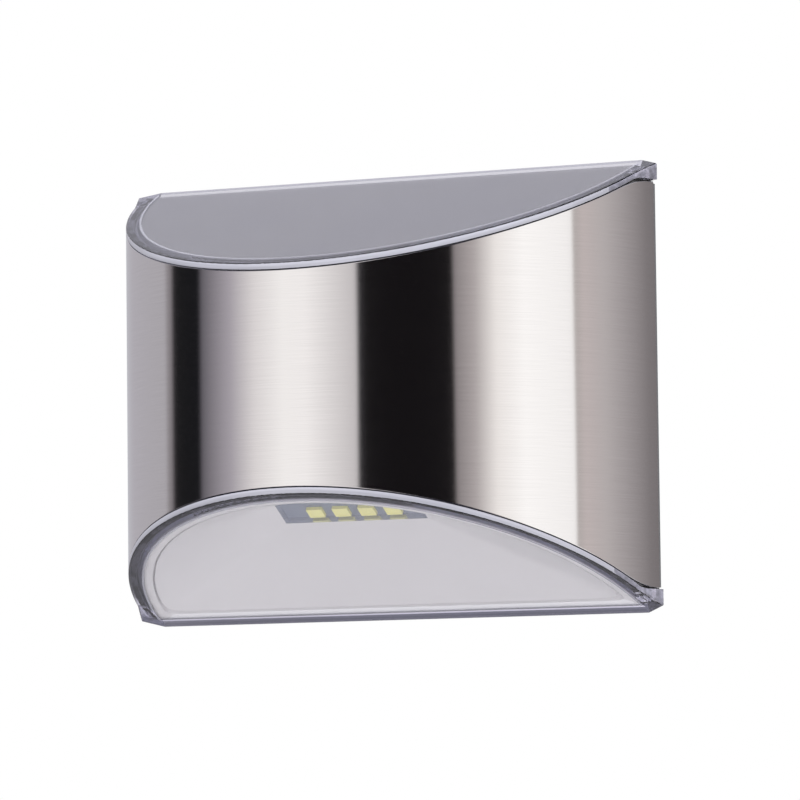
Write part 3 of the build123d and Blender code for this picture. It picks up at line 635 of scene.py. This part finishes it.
def flange_ring(inset, back_inset, rise, rounds=0):
    """Closed half-round line in the flange's slant: left arc, front arc, right arc and back line."""
    radius, back = FLANGE_RADIUS - inset, FLANGE_BACK - back_inset
    widest = math.pi / 2 - math.asin((AXIS_BEHIND_BACK - back) / radius)
    stops = (-widest, -HIP_ANGLE, HIP_ANGLE, widest)
    points = []
    for start, end, count in zip(stops, stops[1:], RING_COUNTS):
        for step in range(count):
            angle = start + (end - start) * step / count
            points.append((radius * math.sin(angle), AXIS_BEHIND_BACK - radius * math.cos(angle)))
    side = radius * math.sin(widest)
    for step in range(RING_COUNTS[3]):
        points.append((side - 2 * side * step / RING_COUNTS[3], back))
    return soften([Vector((x, y, -BACK_HEIGHT / 2 - y * SLANT + rise)) for x, y in points], rounds)


def window_ring(grow, height):
    """Closed rectangle of the LED window, in the same order, 'height' above its inner edge."""
    across = Vector((0.0, math.cos(WINDOW_TILT), -math.sin(WINDOW_TILT)))
    upward = Vector((0.0, math.sin(WINDOW_TILT), math.cos(WINDOW_TILT)))
    origin = Vector((0.0, WINDOW_BACK_Y, WINDOW_BACK_Z)) + height * upward
    side, back, front = WINDOW_LENGTH / 2 + grow, grow, -WINDOW_WIDTH - grow
    corners = ((-side, back), (-side, front), (side, front), (side, back))
    points = []
    for index, count in enumerate(RING_COUNTS):
        start, end = corners[index], corners[(index + 1) % 4]
        for step in range(count):
            x, depth = (start[i] + (end[i] - start[i]) * step / count for i in range(2))
            points.append(origin + Vector((x, 0.0, 0.0)) + depth * across)
    return points


def soften(ring, rounds):
    """Round off the corners of a closed line of points."""
    for _ in range(rounds):
        ring = [(ring[i - 1] + 2 * ring[i] + ring[(i + 1) % len(ring)]) / 4 for i in range(len(ring))]
    return ring


def reflector_rings():
    """Lines round the reflector, in order from its flange's lens side over the funnel to its back."""
    mouth = flange_ring(*FUNNEL_LINE, GROOVE_ROUNDS)
    window = window_ring(0.0, 0.0)
    funnel = []
    for row in range(FUNNEL_ROWS + 1):
        line = [a.lerp(b, row / FUNNEL_ROWS) for a, b in zip(mouth, window)]
        funnel.append(soften(line, min(FUNNEL_ROUNDS, FUNNEL_ROWS - row)))
    return [
        flange_ring(*FLANGE_LINE), *(flange_ring(*line, GROOVE_ROUNDS) for line in GROOVE_LINES),
        *funnel, window_ring(0.0, WINDOW_DEPTH), window_ring(WINDOW_EDGE, WINDOW_DEPTH),
        *(flange_ring(*line) for line in BACK_LINES),
    ]


def reflector_shell():
    """White reflector: flange, groove, funnel with soft hips and glossy wall round the LED window, and a painted
    highlight along the flange's back strip.
    """
    rings = reflector_rings()
    wall_row = 1 + len(GROOVE_LINES) + FUNNEL_ROWS
    back_start = sum(RING_COUNTS[:3])
    model = bmesh.new()
    lines = [[model.verts.new((point + ORIGIN) * MM) for point in ring] for ring in rings]
    count = len(lines[0])
    for row, line in enumerate(lines):
        above = lines[(row + 1) % len(lines)]
        for i in range(count):
            j = (i + 1) % count
            face = model.faces.new((line[i], line[j], above[j], above[i]))
            if row == wall_row:
                face.material_index = SHELL_FINISHES.index("window_wall")
            elif row == 0 and min(i, j) >= back_start:
                # The back strip of the flange gets the painted highlight
                face.material_index = SHELL_FINISHES.index("flange_painted_highlight")
    bmesh.ops.recalc_face_normals(model, faces=model.faces)
    mesh = bpy.data.meshes.new("reflector_shell")
    for finish in SHELL_FINISHES:
        mesh.materials.append(finish_of(finish))
    piece = add_piece("reflector_shell", mesh, model, SHELL_SHARP)
    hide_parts("reflector")
    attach(piece, BODY_OF["reflector"])


def is_slanted_face(face):
    """True for a face that lies in the slanted face of a clear cover."""
    middle = face.calc_center_median()
    outward = face.normal.copy()
    outward.z = abs(outward.z)
    height = abs(middle.z - MIDDLE_Z) / MM
    surface = BACK_HEIGHT / 2 + (middle.y - BACK_Y) / MM * SLANT
    return outward.dot(SLANTED_FACING) > SLANTED_MATCH and height > surface - SLANTED_PLAY


def cut_slanted_face(model, place, outward):
    """Cut the slanted face of a clear cover along one upright plane."""
    faces = [face for face in model.faces if is_slanted_face(face)]
    lines = {line for face in faces for line in face.edges}
    points = {point for face in faces for point in face.verts}
    bmesh.ops.bisect_plane(
        model, geom=[*faces, *lines, *points], dist=CUT_DISTANCE, plane_co=place, plane_no=outward,
    )


def cut_ring(model, radius):
    """Cut the slanted face of a clear cover along the lines that touch a circle round the light's axis."""
    axis = Vector((0.0, BACK_Y + AXIS_BEHIND_BACK * MM, 0.0))
    for step in range(-CUTS_EACH_SIDE, CUTS_EACH_SIDE + 1):
        angle = math.radians(CUT_STEP * step)
        outward = Vector((math.sin(angle), -math.cos(angle), 0.0))
        cut_slanted_face(model, axis + radius * MM * outward, outward)


def face_finish(middle, strips):
    """Finish of a bit of the slanted face; 'strips' are those along its back edge."""
    reach = (middle - Vector((0.0, BACK_Y + AXIS_BEHIND_BACK * MM, middle.z))).length / MM
    if reach > SHADED_EDGE_RADIUS:
        return "clear_edge_painted_shade"
    if reach > LIP_RADIUS:
        return "clear_lip"
    covering = [finish for start, finish in strips if (middle.y - BACK_Y) / MM > start]
    if covering:
        return covering[-1]
    return "clear_line_painted_highlight" if reach > HIGHLIGHT_LINE_RADIUS else "clear_plastic"


def clear_cover(node, name, strips):
    """Clear cover with its own finishes on the lip round its face, its outer wall and its back corners."""
    mesh, model = copy_part(node, name)
    mesh.materials.clear()
    for finish in COVER_FINISHES:
        mesh.materials.append(finish_of(finish))
    solid = BVHTree.FromBMesh(model)
    for radius in (HIGHLIGHT_LINE_RADIUS, LIP_RADIUS, SHADED_EDGE_RADIUS):
        cut_ring(model, radius)
    for start, _ in strips:
        cut_slanted_face(model, Vector((0.0, BACK_Y + start * MM, 0.0)), Vector((0.0, 1.0, 0.0)))
    for face in model.faces:
        outward, middle = face.normal, face.calc_center_median()
        finish = "clear_plastic"
        if is_slanted_face(face):
            finish = face_finish(middle, strips)
        elif (
            abs(outward.z) <= LEVEL_SHARE and outward.y < BACK_SHARE
            and solid.ray_cast(middle + RAY_LIFT * outward, outward)[0] is None
        ):
            finish = "clear_corner" if abs(middle.x) > CORNER_X else "clear_rim"
        face.material_index = COVER_FINISHES.index(finish)
    piece = add_piece(name, mesh, model, SHARP_ANGLE)
    shading = piece.modifiers.new("Flat faces stay flat", "WEIGHTED_NORMAL")
    shading.keep_sharp = True
    shading.weight = 100
    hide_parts(node)
    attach(piece, BODY_OF[node])


# Parts at the back, with the share of the edge rounding that each takes
BACK_ROUNDING = (
    ("back_plate", 1.0), ("wall_bracket", 0.6), ("back_screws", 0.3),
    ("switch_knob", 0.4), ("switch_body", 0.4),
)


class Finishes(bpy.types.Operator):
    """Shader groups and materials of all parts"""
    bl_idname = "walllight.finishes"
    bl_label = "Finishes"

    def execute(self, context):
        make_materials()
        return {"FINISHED"}


class SteelBand(bpy.types.Operator):
    """Brushed band with rounded sheet edges"""
    bl_idname = "walllight.steel_band"
    bl_label = "Steel band"

    def execute(self, context):
        refine("steel_cover", "steel_band", context.scene.wall_light.sheet_round)
        return {"FINISHED"}


class ClearCovers(bpy.types.Operator):
    """Clear top cover and bottom lens"""
    bl_idname = "walllight.clear_covers"
    bl_label = "Clear covers"

    def execute(self, context):
        clear_cover("top_cover", "top_cover_clear", TOP_STRIPS)
        clear_cover("bottom_lens", "bottom_lens_clear", LENS_STRIPS)
        return {"FINISHED"}


class Reflector(bpy.types.Operator):
    """White reflector with soft creases"""
    bl_idname = "walllight.reflector"
    bl_label = "Reflector"

    def execute(self, context):
        reflector_shell()
        return {"FINISHED"}


class LedStrip(bpy.types.Operator):
    """LED board with its LEDs"""
    bl_idname = "walllight.led_strip"
    bl_label = "LED strip"

    def execute(self, context):
        for node in sorted(NODES):
            if node.startswith("led_"):
                paint(NODES[node], SLOT_OF[node])
        return {"FINISHED"}


class BackParts(bpy.types.Operator):
    """Back plate, switch, screws and wall bracket with rounded edges"""
    bl_idname = "walllight.back_parts"
    bl_label = "Back parts"

    def execute(self, context):
        edge = context.scene.wall_light.edge_round
        for node, share in BACK_ROUNDING:
            refine(node, node + "_rounded", share * edge)
        return {"FINISHED"}


class OtherParts(bpy.types.Operator):
    """Finishes of the parts inside"""
    bl_idname = "walllight.other_parts"
    bl_label = "Inner parts"

    def execute(self, context):
        for node, part in NODES.items():
            if not part.hide_render and not node.startswith("led_"):
                paint(part, SLOT_OF[node])
        return {"FINISHED"}


# Stage

# Tone of the studio walls by bearing from the light's front in degrees, right positive
WALL_TONES = (
    (-172, (0.84, 0.82, 0.88)), (-158, (0.80, 0.78, 0.85)), (-148, (0.52, 0.52, 0.56)),
    (-128, (0.46, 0.44, 0.48)), (-93.2, (0.44, 0.42, 0.45)), (-90.5, (0.28, 0.26, 0.275)),
    (-87.5, (0.215, 0.195, 0.21)), (-86.8, (0.034, 0.03, 0.033)), (-84, (0.010, 0.010, 0.011)),
    (-69.6, (0.010, 0.010, 0.012)), (-67.6, (0.14, 0.13, 0.15)), (-52, (0.42, 0.39, 0.43)),
    (-40, (0.78, 0.745, 0.75)), (-27, (0.98, 0.955, 0.945)), (-17, (0.97, 0.94, 0.935)),
    (4.3, (0.60, 0.57, 0.58)), (5.0, (0.04, 0.038, 0.042)), (8, (0.008, 0.007, 0.008)),
    (43.6, (0.008, 0.007, 0.008)), (44.3, (0.25, 0.225, 0.23)), (53, (0.46, 0.42, 0.42)),
    (62, (0.92, 0.88, 0.86)), (74, (1.08, 1.06, 1.05)), (97.2, (1.0, 0.98, 0.975)),
    (97.8, (0.47, 0.435, 0.425)), (103, (0.57, 0.505, 0.50)), (114, (0.50, 0.46, 0.46)),
    (126, (0.38, 0.35, 0.355)), (143, (0.225, 0.205, 0.21)), (160, (0.165, 0.15, 0.155)),
    (172, (0.84, 0.82, 0.88)),
)
# Tone of the space behind the light, by height from straight down to straight up
REAR_TONES = (
    (-1.0, (0.80, 0.79, 0.83)), (-0.78, (0.80, 0.79, 0.83)), (-0.72, (0.50, 0.49, 0.54)),
    (-0.35, (0.52, 0.51, 0.55)), (0.35, (0.62, 0.615, 0.69)), (0.66, (0.645, 0.64, 0.71)),
    (0.78, (0.16, 0.16, 0.21)), (1.0, (0.16, 0.16, 0.21)),
)
# Degrees from the front, and steepness, over which the space behind takes the place of the walls
WALLS_END = (112, 122)
STEEPNESS = (0.30, 0.42)
# Soft light: heights over which it turns to the light from below, its lean to the front above and below them,
# its lean to the right and its strength below them, and the least that is left of it
LOW_HEIGHTS = (-0.3, 0.1)
FRONT_LEAN = (-0.2, -1.05)
SIDE_LEAN = 0.65
LOW_STRENGTH = 0.76
LEAST_LIGHT = 0.05

WHITE = (1.0, 1.0, 1.0)
# Camera: how far it aims below the middle, its sensor in millimetres and the nearest that it sees
AIM_DROP = 0.5 * MM
SENSOR_WIDTH = 36.0
CLIP_START = 0.01
FLOOR_SIZE = 8.0
FLOOR_CELLS = 8


def tone_ramp(tree, value, low, high, stops):
    """Colour by a value; each stop gives the value and its colour."""
    ramp = tree.nodes.new("ShaderNodeValToRGB")
    elements = ramp.color_ramp.elements
    elements.remove(elements[0])
    # A ramp can't be empty, so one element stays at its start until the stops are in
    elements[0].position = 0.0
    for place, colour in stops:
        elements.new((place - low) / (high - low)).color = (*colour, 1.0)
    elements.remove(elements[0])
    set_socket(tree, ramp.inputs[0], add_range(tree, value, low, high))
    return ramp.outputs["Color"]


def add_shiny(tree):
    """1 for a mirrored or transmitted ray that has met no dull surface on its way, and else 0."""
    path = tree.nodes.new("ShaderNodeLightPath").outputs
    shiny = add_math(tree, "MAXIMUM", path["Is Glossy Ray"], path["Is Transmission Ray"])
    return add_math(tree, "MULTIPLY", shiny, add_math(tree, "LESS_THAN", path["Diffuse Depth"], 0.5))


def make_world(level):
    """White to the camera, banded studio walls to gloss and glass, and soft light to the rest."""
    world = bpy.data.worlds.new("Studio")
    world.use_nodes = True
    world.cycles.sampling_method = "NONE"
    tree = world.node_tree
    direction = tree.nodes.new("ShaderNodeTexCoord").outputs["Generated"]
    x, y, z = split_place(tree, direction)
    radians = add_math(tree, "ARCTAN2", x, add_math(tree, "MULTIPLY", y, -1.0))
    bearing = add_math(tree, "DEGREES", radians)
    walls = tone_ramp(tree, bearing, -180, 180, WALL_TONES)
    rear = tone_ramp(tree, z, -1, 1, REAR_TONES)
    behind = add_range(tree, add_math(tree, "ABSOLUTE", bearing), *WALLS_END)
    steep = add_range(tree, add_math(tree, "ABSOLUTE", z), *STEEPNESS)
    room = add_mix(tree, add_math(tree, "MULTIPLY", behind, steep), walls, rear)
    low = add_range(tree, z, *LOW_HEIGHTS, 1.0, 0.0)
    ahead = add_math(tree, "MULTIPLY", y, add_range(tree, low, 0.0, 1.0, *FRONT_LEAN))
    aside = add_math(tree, "MULTIPLY", x, add_math(tree, "MULTIPLY", low, SIDE_LEAN))
    swing = add_math(tree, "ADD", 1.0, add_math(tree, "ADD", ahead, aside))
    swing = add_math(tree, "MAXIMUM", swing, LEAST_LIGHT)
    strength = add_range(tree, low, 0.0, 1.0, level, LOW_STRENGTH * level)
    soft = add_math(tree, "MULTIPLY", swing, strength)
    seen = add_mix(tree, add_shiny(tree), join_place(tree, soft, soft, soft), room)
    camera = tree.nodes.new("ShaderNodeLightPath").outputs["Is Camera Ray"]
    set_socket(tree, tree.nodes["Background"].inputs["Color"], add_mix(tree, camera, seen, WHITE))
    bpy.context.scene.world = world


def make_camera(studio):
    """Camera at the photographed angle, aimed at the middle of the light's back."""
    turn, rise, roll = studio.turn, studio.rise, studio.roll
    aim = Vector((0.0, BACK_Y, MIDDLE_Z - AIM_DROP))
    back = Vector((math.sin(turn) * math.cos(rise), -math.cos(turn) * math.cos(rise), math.sin(rise)))
    right = Vector((math.cos(turn), math.sin(turn), 0.0))
    up = back.cross(right)
    tilted_right = math.cos(roll) * right - math.sin(roll) * up
    tilted_up = math.sin(roll) * right + math.cos(roll) * up
    data = bpy.data.cameras.new("Camera")
    data.lens = studio.lens
    data.sensor_width = SENSOR_WIDTH
    data.clip_start = CLIP_START
    camera = add_object("Camera", data)
    turned = Matrix((tilted_right, tilted_up, back)).transposed().to_4x4()
    camera.matrix_world = Matrix.Translation(aim + studio.distance * back) @ turned
    bpy.context.scene.camera = camera


def make_floor(studio):
    """Plain floor that only the camera sees, and only from above."""
    mesh = bpy.data.meshes.new("floor")
    model = bmesh.new()
    bmesh.ops.create_grid(model, x_segments=FLOOR_CELLS, y_segments=FLOOR_CELLS, size=FLOOR_SIZE / 2)
    model.to_mesh(mesh)
    model.free()
    floor = add_object("floor", mesh)
    floor.location = (0.0, 0.0, STEEL_LOW.z - studio.floor_drop)
    tree, _ = new_material("floor", Roughness=0.9, Base_Color=studio.floor_colour)
    mix = tree.nodes.new("ShaderNodeMixShader")
    clear = tree.nodes.new("ShaderNodeBsdfTransparent")
    underside = tree.nodes.new("ShaderNodeNewGeometry").outputs["Backfacing"]
    camera = tree.nodes.new("ShaderNodeLightPath").outputs["Is Camera Ray"]
    unseen = add_math(tree, "MAXIMUM", add_math(tree, "SUBTRACT", 1.0, camera), underside)
    set_socket(tree, mix.inputs["Fac"], unseen)
    tree.links.new(tree.nodes["Principled BSDF"].outputs[0], mix.inputs[1])
    tree.links.new(clear.outputs[0], mix.inputs[2])
    tree.links.new(mix.outputs[0], tree.nodes["Material Output"].inputs["Surface"])
    mesh.materials.append(finish_of("floor"))


class Stage(bpy.types.Operator):
    """Camera, floor and surroundings"""
    bl_idname = "walllight.stage"
    bl_label = "Stage"

    def execute(self, context):
        studio = context.scene.wall_light_studio
        context.scene.view_settings.view_transform = "Standard"
        context.scene.cycles.blur_glossy = 0.0
        make_camera(studio)
        make_world(studio.level)
        make_floor(studio)
        return {"FINISHED"}


class LightPanel(bpy.types.Panel):
    """Settings and steps of the wall light"""
    bl_label = "Wall light"
    bl_idname = "VIEW3D_PT_wall_light"
    bl_space_type = "VIEW_3D"
    bl_region_type = "UI"
    bl_category = "Wall light"

    def draw(self, context):
        layout = self.layout
        for settings in (context.scene.wall_light, context.scene.wall_light_studio):
            for name in settings.__annotations__:
                layout.prop(settings, name)
        for step in STEPS:
            layout.operator(step.bl_idname)


STEPS = (Stage, Finishes, SteelBand, ClearCovers, Reflector, LedStrip, BackParts, OtherParts)
CLASSES = (LightFinish, StudioSettings, *STEPS, LightPanel)


def register():
    for item in CLASSES:
        bpy.utils.register_class(item)
    bpy.types.Scene.wall_light = bpy.props.PointerProperty(type=LightFinish)
    bpy.types.Scene.wall_light_studio = bpy.props.PointerProperty(type=StudioSettings)


def unregister():
    del bpy.types.Scene.wall_light_studio
    del bpy.types.Scene.wall_light
    for item in reversed(CLASSES):
        bpy.utils.unregister_class(item)


def main():
    register()
    for step in STEPS:
        name = step.bl_idname.split(".")[1]
        getattr(bpy.ops.walllight, name)()


if __name__ == "__main__":
    main()
